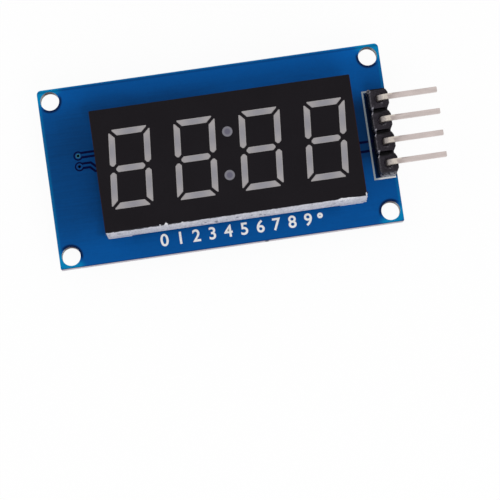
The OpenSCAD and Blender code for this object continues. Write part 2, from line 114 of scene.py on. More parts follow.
# Where the saw has marked the board's near edge
SAW_MARK = 4.03

# Places worked out from the solids
BOARD_HALF = (BOARD_HIGH - BOARD_LOW) / 2
BOARD_MIDDLE = (BOARD_LOW.z + BOARD_HIGH.z) / 2
CASE_HALF = (CASE_HIGH - CASE_LOW) / 2
CASE_CENTRE = (CASE_LOW + CASE_HIGH) / 2
HEADER_CENTRE = (BLOCK_LOW + BLOCK_HIGH) / 2
DRIVER_CENTRE = (DRIVER_LOW + DRIVER_HIGH) / 2
DISPLAY_PINS = [middle_mm(pin) for pin in numbered("display_pin", 12)]
DIGITS = [middle_mm(chips) for chips in numbered("digit_chips", 4)]
DIGIT_PITCH = DIGITS[1].x - DIGITS[0].x
DIGIT_LOW, DIGIT_HIGH = box_mm("digit_chips_1")
LEVEL = (DIGIT_HIGH.y - DIGIT_LOW.y - CHIP) / 2
UPRIGHT = (DIGIT_HIGH.x - DIGIT_LOW.x - CHIP) / 2 - LEVEL / 2 * DIGIT_LEAN
DOTS = [DOTS_LOW.xy + Vector((CHIP, CHIP)) / 2, DOTS_HIGH.xy - Vector((CHIP, CHIP)) / 2]
VIA_X = (VIAS_LOW.x + VIAS_HIGH.x) / 2
VIA_ROWS = (VIAS_LOW.y + VIA_RADIUS, VIAS_HIGH.y - VIA_RADIUS)
GATE = (BLOCK_LOW.x + 0.08, BLOCK_HIGH.y - 0.29)


def tint(name, default, text):
    """A colour in linear red, green and blue."""
    return FloatVectorProperty(
        name=name, description=text, default=default, size=3, min=0.0, max=1.0, subtype="COLOR"
    )


def measure(name, default, text):
    """A size that is kept in millimetres."""
    text = f"{text}, in millimetres"
    return FloatProperty(name=name, description=text, default=default, min=0.0, precision=3)


class BoardSettings(PropertyGroup):
    """Colours and print of the circuit board."""

    mask: tint("Mask", (0.0005, 0.080, 0.305), "Blue solder mask over copper")
    # The dark mask is the colour of the painted shade on the mask, and of the mask's lip on the board's
    # edges
    mask_dark: tint("Dark mask", (0.001, 0.037, 0.135), "Solder mask where it looks deepest")
    mask_light: tint("Light mask", (0.0005, 0.098, 0.375), "Solder mask along the far edge")
    mask_thin: tint("Thin mask", (0.0, 0.215, 0.46), "Solder mask with no copper under it")
    gap: tint("Gap", (0.0006, 0.0015, 0.026), "Mask in the gaps between tracks")
    core: tint("Core", (0.50, 0.46, 0.51), "Bare glass-epoxy on the board's edges")
    print_white: tint("Print", (0.88, 0.87, 0.85), "White print on the board")
    # The thin print colour is painted shade on the print beside the header
    print_shaded: tint("Thin print", (0.37, 0.42, 0.44), "Thin print beside the header")
    print_height: measure("Print thickness", 0.02, "Thickness of the white print")
    line_width: measure("Line width", 0.2, "Width of a printed line")
    frame_gap: measure("Frame gap", 0.46, "From the header to the line on its left")
    numeral_height: measure("Numeral height", 1.45, "Height of the printed numerals")
    row_left: measure("Row start", 8.26, "From the board's centre to the row's left end")
    row_right: measure("Row end", 9.52, "From the board's centre to the row's right end")
    row_drop: measure("Row drop", 8.86, "From the board's centre down to the row's middle")
    ring_gap: measure("Ring gap", 1.02, "From the row's right end to the ring's middle")
    ring_rise: measure("Ring rise", 0.27, "From the row's middle up to the ring's middle")
    ring_radius: measure("Ring radius", 0.33, "Radius of the printed ring")
    ring_width: measure("Ring width", 0.26, "Width of the ring's line")


class TrackSettings(PropertyGroup):
    """Sizes and colour of the copper tracks under the mask."""

    width: measure("Width", 0.3, "Width of a copper track")
    height: measure("Height", 0.025, "Height of a track above the board's face")
    gap_width: measure("Gap width", 0.26, "Width of the gap beside a track on the front")
    gap_height: measure("Gap thickness", 0.006, "Thickness of the mask drawn in a gap")
    via_gap_radius: measure("Via gap radius", 0.42, "Radius of the gap round a via")
    colour: tint("Colour", (0.0, 0.12, 0.37), "Solder mask over a raised track")


class DisplaySettings(PropertyGroup):
    """Colours of the display, and sizes of the flash on its case."""

    plastic: tint("Plastic", (0.62, 0.62, 0.68), "White moulded plastic of the case")
    ink: tint("Ink", (0.0112, 0.0096, 0.0118), "Black ink on the face")
    resin: tint("Resin", (0.375, 0.350, 0.352), "Pale resin at the ends of the segments")
    resin_deep: tint("Deep resin", (0.275, 0.267, 0.295), "Resin over the chips")
    rim: tint("Rim", (0.39, 0.37, 0.375), "Bare plastic round a segment")
    dot_resin: tint("Dot resin", (0.120, 0.114, 0.156), "Darker resin in the dots")
    dot_rim: tint("Dot rim", (0.20, 0.195, 0.225), "Resin and plastic round a dot")
    flash_foot: measure("Flash foot", 0.3, "How far the flash stands out at the case's foot")
    flash_tip: measure("Flash tip", 0.07, "How far the flash stands out at the face")
    flash_spur: measure("Flash spur", 0.35, "How far the flash's tip bends along the face")
    flash_wall: measure("Flash wall", 0.09, "Thickness of the flash")


class HeaderSettings(PropertyGroup):
    """Colours of the header, and the size of its gate."""

    plastic: tint("Plastic", (0.0270, 0.0235, 0.0305), "Black moulded plastic")
    stress: tint("Stress", (0.36, 0.35, 0.39), "Plastic turned white where it was strained")
    pin: tint("Pin", (0.66, 0.575, 0.55), "Dull plating of the pins")
    # The bend colour is a painted highlight over the bends
    bend: tint("Bend", (0.70, 0.63, 0.56), "Bright plating over the bends")
    gate_radius: measure("Gate radius", 0.23, "Radius of the gate's stub on the block")


class PartSettings(PropertyGroup):
    """Colours of the parts on the back."""

    tin: tint("Tin", (0.60, 0.58, 0.55), "Tinned metal")
    solder: tint("Solder", (0.66, 0.66, 0.66), "Bright solder")
    epoxy: tint("Epoxy", (0.022, 0.022, 0.024), "Black moulded epoxy of the driver chip")
    resistor: tint("Resistor", (0.018, 0.018, 0.02), "Dark coat of a resistor")
    capacitor: tint("Capacitor", (0.40, 0.26, 0.14), "Fired ceramic of a capacitor")


class StageSettings(PropertyGroup):
    """Camera, lamps and floor."""

    lens: FloatProperty(
        name="Lens", description="Focal length in millimetres", default=185.061, min=20.0, unit="CAMERA"
    )
    camera_place: FloatVectorProperty(
        name="Camera", description="Camera's place", subtype="TRANSLATION",
        default=(-0.004402, -0.039887, 0.299344),
    )
    camera_right: FloatVectorProperty(
        name="Right", description="Direction to the right of the picture", subtype="DIRECTION",
        default=(0.989614, -0.14357, 0.007183),
    )
    camera_up: FloatVectorProperty(
        name="Up", description="Direction to the top of the picture", subtype="DIRECTION",
        default=(0.142204, 0.985059, 0.097146),
    )
    floor: tint("Floor", (0.92, 0.92, 0.92), "Pale floor")
    sky: FloatProperty(name="Sky", description="Strength of the light all round", default=0.74, min=0.0)
    key: FloatProperty(name="Key", description="Main lamp's power", default=0.34, min=0.0, unit="POWER")
    fill: FloatProperty(name="Fill", description="Fill lamp's power", default=0.1, min=0.0, unit="POWER")


class ModuleSettings(PropertyGroup):
    """All settings of the display module."""

    board: PointerProperty(type=BoardSettings)
    tracks: PointerProperty(type=TrackSettings)
    display: PointerProperty(type=DisplaySettings)
    header: PointerProperty(type=HeaderSettings)
    parts: PointerProperty(type=PartSettings)
    stage: PointerProperty(type=StageSettings)


def settings():
    """The module's settings in this scene."""
    return bpy.context.scene.display_module


class Number:
    """A number that varies over a surface: an output socket with Python's arithmetic."""

    def __init__(self, finish, socket):
        self.finish = finish
        self.socket = socket

    def math(self, operation, *values):
        node = self.finish.node("ShaderNodeMath", {"operation": operation}, dict(enumerate(values)))
        return Number(self.finish, node.outputs[0])

    def __add__(self, other):
        return self.math("ADD", self, other)

    def __sub__(self, other):
        return self.math("SUBTRACT", self, other)

    def __rsub__(self, other):
        return self.math("SUBTRACT", other, self)

    def __mul__(self, other):
        return self.math("MULTIPLY", self, other)

    def __truediv__(self, other):
        return self.math("DIVIDE", self, other)

    def __abs__(self):
        return self.math("ABSOLUTE", self)

    __radd__ = __add__
    __rmul__ = __mul__

    def least(self, other):
        return self.math("MINIMUM", self, other)

    def most(self, other):
        return self.math("MAXIMUM", self, other)

    def root(self):
        return self.math("SQRT", self)

    def wrapped(self, pitch):
        """The number folded into plus and minus half a pitch."""
        return self.math("WRAP", self, pitch / 2, -pitch / 2)

    def rise(self, low, high):
        """0 below low and 1 above high, with a smooth step between; low may be the larger."""
        inputs = {"Value": self, "From Min": low, "From Max": high}
        node = self.finish.node("ShaderNodeMapRange", {"interpolation_type": "SMOOTHSTEP"}, inputs)
        return Number(self.finish, node.outputs[0])


class Finish:
    """A material whose patterns are measured in millimetres on the object's own coordinates."""

    def __init__(self, name):
        self.material = bpy.data.materials.new(name)
        self.material.use_nodes = True
        self.tree = self.material.node_tree
        self.tree.nodes.clear()
        metres = self.node("ShaderNodeTexCoord").outputs["Object"]
        self.place = self.vector("SCALE", {0: metres, "Scale": 1 / MM})
        split = self.node("ShaderNodeSeparateXYZ", inputs={0: self.place})
        self.x, self.y, self.z = (Number(self, output) for output in split.outputs)

    def node(self, kind, options=None, inputs=None):
        """Adds a node, makes its settings, and links or sets its sockets."""
        node = self.tree.nodes.new(kind)
        for option, value in (options or {}).items():
            setattr(node, option, value)
        for name, value in (inputs or {}).items():
            if isinstance(value, Number):
                value = value.socket
            if isinstance(value, NodeSocket):
                self.tree.links.new(value, node.inputs[name])
            else:
                node.inputs[name].default_value = value
        return node

    def vector(self, operation, inputs):
        """The result of a Vector Math node."""
        return self.node("ShaderNodeVectorMath", {"operation": operation}, inputs).outputs[0]

    def distance(self, x, y):
        """Distance in the XY plane from a point."""
        return span(self.x - x, self.y - y)

    def stretched(self, x=1.0, y=1.0, z=1.0):
        """The place with each direction drawn out, so that a pattern grows along it."""
        return self.vector("MULTIPLY", {0: self.place, 1: (1 / x, 1 / y, 1 / z)})

    def noise(self, size, detail=3.0, roughness=0.5, place=None, shift=0.0):
        """Soft noise from 0 to 1 with patches of about that size in millimetres."""
        where = place or self.place
        if shift:
            where = self.vector("ADD", {0: where, 1: (shift, shift * 1.7, shift * 0.6)})
        inputs = {"Vector": where, "Scale": 1 / size, "Detail": detail, "Roughness": roughness}
        return Number(self, self.node("ShaderNodeTexNoise", inputs=inputs).outputs["Fac"])

    def specks(self, size, place):
        """Distance from scattered points that lie about that far apart, as a share of it."""
        inputs = {"Vector": place, "Scale": 1 / size}
        return Number(self, self.node("ShaderNodeTexVoronoi", inputs=inputs).outputs["Distance"])

    def mix(self, first, second, share):
        """A colour that goes from the first to the second as the share goes from 0 to 1."""
        # A colour mix reads sockets 0, 6 and 7, and gives its result at 2
        inputs = {0: share, 6: opaque(first), 7: opaque(second)}
        return self.node("ShaderNodeMix", {"data_type": "RGBA"}, inputs).outputs[2]

    def shaded(self, colour, number, depth):
        """A colour made darker and lighter by a number round 0.5."""
        return self.vector("SCALE", {0: colour, "Scale": (number - 0.5) * depth + 1.0})

    def surface(self, colour, roughness, specular=0.5, metallic=0.0, bump=None):
        """Ends the material; the bump is a height from 0 to 1 and its depth in millimetres."""
        inputs = {
            "Base Color": colour, "Roughness": roughness,
            "Specular IOR Level": specular, "Metallic": metallic,
        }
        if bump:
            height, depth = bump
            relief = {"Height": height, "Distance": depth * MM, "Strength": 1.0}
            inputs["Normal"] = self.node("ShaderNodeBump", inputs=relief).outputs[0]
        return self.end(self.node("ShaderNodeBsdfPrincipled", inputs=inputs))

    def end(self, shader):
        """Ends the material with a shader and returns it."""
        self.node("ShaderNodeOutputMaterial", {"is_active_output": True}, {"Surface": shader.outputs[0]})
        return self.material


def span(a, b):
    """Length of a step with those two sides."""
    return (a * a + b * b).root()


def opaque(colour):
    """A colour of three numbers with full alpha; a socket is left as it is."""
    return colour if isinstance(colour, NodeSocket) else (*colour, 1.0)


def dress(material, *nodes):
    """Gives CAD nodes a material."""
    for name in nodes:
        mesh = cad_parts[name].data
        mesh.materials.clear()
        mesh.materials.append(material)


def show(thing):
    """Puts an object in the scene and returns it."""
    bpy.context.scene.collection.objects.link(thing)
    return thing


def add_piece(name, bm, material):
    """Makes a closed bmesh, measured in millimetres, a piece of the module."""
    bmesh.ops.recalc_face_normals(bm, faces=bm.faces)
    mesh = bpy.data.meshes.new(name)
    bm.to_mesh(mesh)
    bm.free()
    mesh.transform(Matrix.Scale(MM, 4))
    mesh.materials.append(material)
    piece = show(bpy.data.objects.new(name, mesh))
    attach(piece, "root")


def only(kind, geometry):
    """The parts of a bmesh's geometry that are of one kind."""
    return [part for part in geometry if isinstance(part, kind)]


def add_band(bm, route, width, z, height):
    """Adds a flat band along a route of points in the XY plane, mitred where the route turns."""
    route = [Vector(p) for p in route]
    ways = [(b - a).normalized() for a, b in zip(route, route[1:])]

    def station(i):
        before, after = ways[max(i - 1, 0)], ways[min(i, len(ways) - 1)]
        along = (before + after).normalized()
        across = Vector((-along.y, along.x)) * (width / 2 / max(along.dot(after), 0.5))
        return [(*place, z) for place in (route[i] + across, route[i] - across)]

    left, right = (bm.verts.new(p) for p in station(0))
    edge = bm.edges.new((left, right))
    faces = []
    for i in range(1, len(route)):
        made = bmesh.ops.extrude_edge_only(bm, edges=[edge])["geom"]
        left, right = sorted(only(bmesh.types.BMVert, made), key=lambda v: (v.co - left.co).length)
        left.co, right.co = station(i)
        edge = bm.edges.get((left, right))
        faces += only(bmesh.types.BMFace, made)
    thicken(bm, faces, height)


def thicken(bm, faces, height):
    """Extrudes flat faces by a height along Z, and keeps the solid closed."""
    made = bmesh.ops.extrude_face_region(bm, geom=faces, use_keep_orig=True)["geom"]
    bmesh.ops.translate(bm, verts=only(bmesh.types.BMVert, made), vec=(0, 0, height))


def arc(centre, radius, first, last, steps):
    """Points along an arc between two angles in degrees."""
    turn = [math.radians(first + (last - first) * i / steps) for i in range(steps + 1)]
    return [(centre[0] + radius * math.cos(a), centre[1] + radius * math.sin(a)) for a in turn]


def blue_mask(f):
    """The solder mask's colour over copper, with painted shade round the display, behind it and on the
    way to the header.
    """
    own = settings().board
    # Painted shade: the mask is darkened round the display's left end, beside it, behind it and between
    # it and the header; the cloud and the wiped streaks are the mask's own tone
    left = f.distance(-16.5, 0.0).rise(11.5, 3.5) * 0.66
    shade_far_left = f.distance(-17.5, 6.5).rise(7.0, 3.0) * 0.15
    between = abs(f.x - (CASE_HIGH.x + BLOCK_LOW.x) / 2).rise(2.4, 0.8) * abs(f.y - 0.7).rise(5.0, 2.2)
    shade_behind = f.y.rise(CASE_HIGH.y - 0.2, CASE_HIGH.y + 0.4) * f.x.rise(14.5, 12.0) * 0.12
    cloud = f.noise(5.0, detail=2.0)
    wiped = f.noise(0.22, place=f.stretched(x=16.0))
    beside = (CASE_LOW.x - f.x).rise(2.6, 0.4) * f.y.rise(-8.4, -6.8) * 0.7 * f.x.rise(5, -5)
    share = (left + shade_far_left).most(between).most(shade_behind).most(beside) * f.y.rise(10.0, 6.8)
    share = share + (cloud - 0.5) * 0.35 + (wiped - 0.5) * 0.4
    blue = f.mix(own.mask, own.mask_dark, share.most(0.0).least(1.0))
    blue = f.mix(blue, own.mask_light, f.y.rise(8.0, 10.3) * (f.x.rise(-19.0, 8.0) * 0.5 + 0.4))
    return f.shaded(blue, f.noise(0.35, detail=4.0, roughness=0.7), 0.2)


def board_mask():
    """Blue solder mask over copper, with bare core on the board's edges and in its holes."""
    own = settings().board
    f = Finish("blue solder mask")
    ends, sides = BOARD_HALF.x - abs(f.x), BOARD_HALF.y - abs(f.y)
    across, along = ends - MOUNT_INSET, sides - MOUNT_INSET
    hole = span(across, along)
    inward = (across * 0.6 + along) / 1.17
    far_side = f.y.rise(0, 1)
    blue = blue_mask(f)

    # Without copper the mask is thin and light at the corners, and dark round the holes' inner sides
    corner = hole.rise(2.2, 1.4) * inward.rise(0.2, -0.7)
    band = ends.rise(0.45, 0.15) * 0.35
    blue = f.mix(blue, own.mask_thin, (corner * 0.95).most(band))
    shade = hole.rise(1.52, 1.26) * inward.rise(0.0, 0.6)
    blue = f.mix(blue, own.gap, shade * 0.85)
    blue = f.mix(blue, own.gap, sides.rise(0.14, 0.02) * f.y.rise(0, -1) * 0.6)
    blue = f.mix(blue, own.mask_thin, sides.rise(0.22, 0.08) * far_side * 0.4)
    rim = abs(sides - 0.28).rise(0.14, 0.04) * far_side
    blue = f.mix(blue, own.gap, rim * 0.35)

    # Painted shadow: the mask is darkened to near black at the foot of the header's block, on the front
    foot = abs(f.y - HEADER_CENTRE.y).rise(5.3, 4.9) * (BLOCK_LOW.x - f.x).rise(0.46, 0.18)
    shadow_black = (0.0, 0.001, 0.006)
    blue = f.mix(blue, shadow_black, foot * f.z.rise(1.2, 1.5) * 0.9)

    # Bare core with its glass layers, under a blue lip; in the holes it is dark brown on each wall's
    # near and far sides and pale on its left and right
    flat = abs(f.z - BOARD_MIDDLE)
    layers = f.noise(0.16, detail=2.0, place=f.stretched(x=14.0, y=14.0))
    core = f.shaded(own.core, layers, 0.5)
    brown, pale = (0.10, 0.075, 0.065), (0.60, 0.59, 0.54)
    wall = f.mix(brown, pale, abs(across).rise(0.35, 0.95))
    core = f.mix(core, wall, hole.rise(1.34, 1.2) * 0.8)
    saw = abs(f.x - SAW_MARK).rise(0.34, 0.08) * (f.y - BOARD_LOW.y).rise(0.3, 0.05)
    saw_grey = (0.05, 0.06, 0.10)
    core = f.mix(core, saw_grey, saw * 0.9)
    lip = flat.rise(BOARD_HALF.z - 0.16, BOARD_HALF.z - 0.03) * hole.rise(1.3, 1.6)
    core = f.mix(core, own.mask_dark, lip * 0.9)
    top = flat.rise(BOARD_HALF.z - 0.012, BOARD_HALF.z - 0.004)
    waves = f.noise(0.8) * 0.5 + f.noise(0.1, detail=2.0) * 0.5
    return f.surface(f.mix(core, blue, top), 0.8 - top * 0.46, specular=0.05, bump=(waves, 0.006))


def masked_copper():
    """Copper rings of the two vias under the mask, which has run off the edge of their holes, with
    painted shade in the holes.
    """
    own = settings().board
    f = Finish("masked copper")
    lower, upper = (f.distance(VIA_X, row) for row in VIA_ROWS)
    teal, barrel_shade = (0.045, 0.22, 0.30), (0.004, 0.004, 0.006)
    lower_hole_shade, upper_hole_shade = (0.008, 0.005, 0.030), (0.002, 0.003, 0.008)
    grain = f.noise(0.08)
    colour = f.shaded(blue_mask(f), grain, 0.3)
    colour = f.mix(colour, f.shaded(teal, grain, 0.9), upper.rise(0.27, 0.22))
    colour = f.mix(colour, own.gap, lower.rise(0.25, 0.18) * 0.6)
    # Painted shade: the holes and their plated barrels are made near black
    colour = f.mix(colour, upper_hole_shade, upper.rise(0.20, 0.16))
    colour = f.mix(colour, lower_hole_shade, lower.rise(0.18, 0.14))
    inside = abs(f.z - BOARD_MIDDLE).rise(BOARD_HALF.z + 0.03, BOARD_HALF.z - 0.1)
    return f.surface(f.mix(colour, barrel_shade, inside), 0.4, specular=0.08, bump=(grain, 0.004))


def worn_metal(name, colour, size, rough=0.34, stretch=(1.0, 1.0, 1.0)):
    """Bare metal with fine drawn or wiped lines and a dull bloom."""
    f = Finish(name)
    lines = f.noise(size, detail=4.0, roughness=0.6, place=f.stretched(*stretch))
    bloom = f.noise(size * 9, detail=2.0, shift=4.0)
    colour = f.shaded(f.shaded(colour, lines, 0.35), bloom, 0.35)
    return f.surface(colour, (bloom - 0.5) * 0.3 + rough, metallic=1.0, bump=(lines, size * 0.06))


# Chips out of the ink at the face's near edge: place along it, half length and depth, in millimetres
INK_CHIPS = (
    (-7.98, 0.13, 0.12), (-7.28, 0.24, 0.24), (-5.42, 0.22, 0.05), (12.9, 0.5, 0.10), (13.7, 1.2, 0.10),
)

# Dark marks on the case's near side: place along it, height and half width, in millimetres
SIDE_MARKS = (
    (-2.8, 4.6, 0.17), (-1.55, 4.4, 0.22), (0.91, 5.4, 0.18),
    (2.58, 5.4, 0.13), (3.62, 4.7, 0.17), (4.12, 4.2, 0.13),
)


def chipped(f):
    """How far the ink is chipped in from the face's near edge."""
    chips = 0.0
    for place, half, depth in INK_CHIPS:
        chips = (1 - abs(f.x - place) / half).most(0.0) * depth + chips
    return chips


def dark_marks(f):
    """1 in the dark marks of the case's near side."""
    marks = 0.0
    for place, height, half in SIDE_MARKS:
        marks = span((f.x - place) / half, (f.z - height) / (half * 3.2)).rise(1.25, 0.6).most(marks)
    return marks


def case_plastic():
    """White moulded plastic: cloudy, pitted and marked, and stained where the ink ran over its edge."""
    own = settings().display
    f = Finish("case plastic")
    near = (f.y - CASE_LOW.y).rise(0.3, 0.1)
    cloud = f.noise(1.1, detail=4.0, roughness=0.6)
    colour = f.shaded(own.plastic, cloud, 0.34)

    # White patches, also under the chips in the ink, then pits, marks and fine specks
    white, pit = (0.86, 0.86, 0.88), (0.15, 0.16, 0.21)
    mark, speck = (0.10, 0.11, 0.15), (0.25, 0.25, 0.32)
    under = chipped(f) * near * f.z.rise(INK_LOW.z - 1.3, INK_LOW.z - 0.5)
    patch = f.noise(0.55, shift=9.0).rise(0.60, 0.74).most(under.rise(0.0, 0.04))
    colour = f.mix(colour, white, patch * 0.8)
    pits = f.specks(1.15, f.stretched(z=2.0)).rise(0.23, 0.11) * f.noise(1.9, shift=7.0).rise(0.38, 0.50)
    colour = f.mix(colour, pit, pits * (near * 0.6 + 0.2))
    colour = f.mix(colour, mark, dark_marks(f) * near * 0.85)
    fine = f.specks(0.42, f.stretched(z=3.5)).rise(0.20, 0.08)
    colour = f.mix(colour, speck, fine * f.noise(1.6, shift=2.0).rise(0.36, 0.54) * 0.8)

    # The near side is streaked upwards, and pale along its foot
    drawn = f.noise(0.2, detail=4.0, roughness=0.8, place=f.stretched(z=9.0), shift=3.0)
    colour = f.shaded(colour, drawn - 0.06, near * 1.3)
    colour = f.shaded(colour, f.noise(2.8, shift=5.0) - 0.1, near * 0.5)
    edge = near * (f.z - CASE_LOW.z).rise(0.9, 0.3) * f.noise(1.3, shift=4.0).rise(0.4, 0.5)
    foot_white = (0.88, 0.88, 0.90)
    colour = f.mix(colour, foot_white, edge * 0.6)

    # Ink that ran down the sides, furthest at the near side's left end
    wide, deep = CASE_HALF.x - abs(f.x - CASE_CENTRE.x), CASE_HALF.y - abs(f.y - CASE_CENTRE.y)
    outside = wide.least(deep).rise(0.3, 0.2)
    ragged = (f.noise(0.42, detail=4.0, roughness=0.75, place=f.stretched(z=7.0)) - 0.5) * 2.8
    run = (f.x.rise(14.0, -15.0) * 0.75 + 0.08) * near * f.x.rise(12.6, 11.6) + 0.25 - near * 0.25
    run = run + ragged * (f.x.rise(12.8, 11.6) * near).most(0.3 - near) - under * 8.0
    ink = (f.z - INK_LOW.z + run).rise(-0.06, 0.06) * outside

    # Bare rims round the segments and dots
    rim = f.mix(own.rim, own.dot_rim, dot_distance(f).rise(0.9, 0.75))
    colour = f.mix(colour, rim, f.z.rise(INK_LOW.z - 0.02, INK_LOW.z - 0.005) * (1 - outside))
    height = cloud * 0.5 - fine * 0.5 - pits
    return f.surface(f.mix(colour, own.ink, ink), ink * 0.2 + 0.55, specular=0.3, bump=(height, 0.03))


def face_ink():
    """Matt black ink, brownish at the face's ends and chipped at its near edge."""
    own = settings().display
    f = Finish("face ink")
    grain = f.noise(0.12, roughness=0.7)
    cloud = f.noise(4.0)
    colour = f.shaded(f.shaded(own.ink, grain, 0.5), cloud, 0.3)
    ends = (f.x - INK_LOW.x).least(INK_HIGH.x - f.x)
    brown, plastic = (0.030, 0.011, 0.008), (0.72, 0.72, 0.76)
    colour = f.mix(colour, brown, ends.rise(0.14, 0.03) * 0.45)
    near = f.y - INK_LOW.y
    ragged = f.noise(0.2, detail=4.0, roughness=0.8, shift=3.0)
    corner = f.distance(INK_HIGH.x, INK_LOW.y).rise(0.42, 0.30) * (INK_HIGH.x - f.x).rise(0.16, 0.08)
    bare = (chipped(f) + ragged * 0.14 - 0.088 - near).rise(-0.015, 0.015).most(corner)
    return f.surface(f.mix(colour, plastic, bare), 0.62, specular=0.04, bump=(grain, 0.004))


def segment_distance(f):
    """Distance over the face from the middle of the nearest segment."""
    along = f.y - DIGITS[0].y
    across = abs((f.x - DIGITS[0].x - along * DIGIT_LEAN).wrapped(DIGIT_PITCH))
    along = abs(along)

    def off(x, y):
        return span(across - x, along - y)

    return off(0, 0).least(off(0, LEVEL)).least(off(UPRIGHT, LEVEL / 2))


def dot_distance(f):
    """Distance over the face from the middle of the nearest dot."""
    return f.distance(*DOTS[0]).least(f.distance(*DOTS[1]))


def light_resin():
    """Pale cloudy resin in the wells, deeper and bluer over each chip, and darker in the two dots."""
    own = settings().display
    f = Finish("light resin")
    cloud = f.noise(1.6)
    grain = f.noise(0.16, detail=4.0, roughness=0.7)
    colour = f.mix(own.resin_deep, own.resin, segment_distance(f).rise(0.1, 2.1))
    colour = f.shaded(f.shaded(colour, cloud, 0.2), grain, 0.14)
    dot = dot_distance(f)
    dark = f.shaded(f.mix(own.dot_resin, own.dot_rim, dot.rise(0.22, 0.48)), grain, 0.2)
    colour = f.mix(colour, dark, dot.rise(1.0, 0.8))
    return f.surface(colour, 0.42, specular=0.2, bump=(cloud * 0.6 + grain * 0.4, 0.008))


def inner_board():
    """Green glass-epoxy inside the display."""
    f = Finish("inner board")
    warp = f.noise(0.3, detail=2.0, place=f.stretched(x=2.0))
    weft = f.noise(0.3, detail=2.0, place=f.stretched(y=2.0))
    green = (0.06, 0.17, 0.07)
    return f.surface(f.shaded(green, (warp + weft) * 0.5, 0.7), 0.55)


def light_chip():
    """Chip with a golden cast."""
    f = Finish("light chip")
    gold = (0.72, 0.58, 0.22)
    return f.surface(f.shaded(gold, f.noise(0.05, detail=2.0), 0.5), 0.35, metallic=0.3)


def solder_metal():
    """Bright solder with the slow ripples it sets with."""
    f = Finish("solder")
    ripple = f.noise(0.45, detail=2.0)
    frost = f.noise(0.09, shift=5.0)
    colour = f.shaded(settings().parts.solder, frost, 0.25)
    return f.surface(colour, frost * 0.22 + 0.16, metallic=1.0, bump=(ripple * 0.7 + frost * 0.3, 0.05))


def header_plastic():
    """Black moulded plastic, white where the strip was strained between cells and torn at its end;
    painted shade down its left side, in its grooves, notches and funnels, and painted highlights on its
    top's left edge and the gate's rim.
    """
    own = settings().header
    f = Finish("header plastic")
    grain = f.noise(0.11, detail=4.0, roughness=0.7)
    cloud = f.noise(0.9, shift=6.0)
    coarse = f.noise(0.34, roughness=0.7, shift=4.0)
    rough = f.noise(0.22, detail=4.0, roughness=0.8)
    fibres = f.noise(0.3, detail=4.0, roughness=0.75, place=f.stretched(z=1.6))
    patchy = f.noise(0.3, detail=2.0, shift=1.0)
    colour = f.shaded(f.shaded(f.shaded(own.plastic, grain, 1.6), cloud, 0.9), coarse, 1.5)

    # Places: off the block's middle, off the nearest seam and pin, in from the ends, and under the top
    across, along = f.x - HEADER_CENTRE.x, f.y - HEADER_CENTRE.y
    seam, pin = along.wrapped(HEADER_PITCH), (along - HEADER_PITCH / 2).wrapped(HEADER_PITCH)
    ends = (f.y - BLOCK_LOW.y).least(BLOCK_HIGH.y - f.y)
    within = ends.rise(0.8, 1.2)
    under = BLOCK_HIGH.z - f.z
    upper = under.rise(0.94, 0.74)
    gate = f.distance(*GATE)

    # White: strained beside the seams, torn at the near end and scuffed by each pin; painted highlights
    # along the top's left edge and round the gate's rim
    lean = seam + 0.08
    strain = abs(across + 0.95 - lean * 0.26).rise(0.17, 0.06) * abs(lean).rise(0.5, 0.36)
    strain = strain * within * under.rise(1.54, 0.84) * (patchy.rise(0.3, 0.5) * 0.4 + 0.6)
    torn = ends.rise(0.34, 0.14) * fibres.rise(0.40, 0.56) * f.y.rise(0, -1)
    torn = torn * (under.rise(0.04, 1.14) * 0.8 + 0.1)
    scuff = span(across - 0.18, pin + 0.42).rise(0.36, 0.16) * rough.rise(0.40, 0.56)
    scuff = scuff * under.rise(0.14, 0.04)
    # Painted highlights: a light line along the top's left edge, and a light ring round the gate's rim
    left_edge_highlight = abs(across + 0.98).rise(0.14, 0.03) * under.rise(0.54, 0.14) * rough.rise(0.38, 0.6)
    rim = abs(gate - 0.18).rise(0.12, 0.04) * under.rise(0.24, 0.14) * rough.rise(0.3, 0.6)
    white = strain.most(torn).most(scuff * 0.34).most(left_edge_highlight * 0.2).most(rim * 0.5)

    # Painted shade: darkest down the left side, in the grooves and in the notches' left halves
    left = (across + 1.02).rise(0.03, -0.06) * gate.rise(0.20, 0.26) * (1 - strain)
    groove = abs(seam + 0.02).rise(0.30, 0.22) * under.rise(0.01, 0.09) * upper * across.rise(0.75, 0.5)
    notch = abs(seam + 0.14).rise(0.30, 0.14) * upper * across.rise(0.5, 0.0) * (1 - strain) * within
    dark = (left * 0.9).most(groove * 0.9).most(notch * 0.92)
    # Painted shade: grey in the funnel round each pin
    funnel = span(across, pin).rise(0.56, 0.50) * under.rise(0.54, 0.34)

    grey, black, torn_white = (0.060, 0.050, 0.070), (0.002, 0.002, 0.003), (0.66, 0.67, 0.72)
    colour = f.mix(colour, grey, funnel * 0.8)
    colour = f.mix(f.mix(colour, black, dark), own.stress, white)
    colour = f.mix(colour, torn_white, torn * across.rise(-0.75, 0.65) * 0.8)
    height = grain * 0.6 + cloud * 0.4 + torn * 0.6 - scuff * 0.5
    return f.surface(colour, (cloud - 0.5) * 0.2 + 0.42, specular=0.12, bump=(height, 0.08))


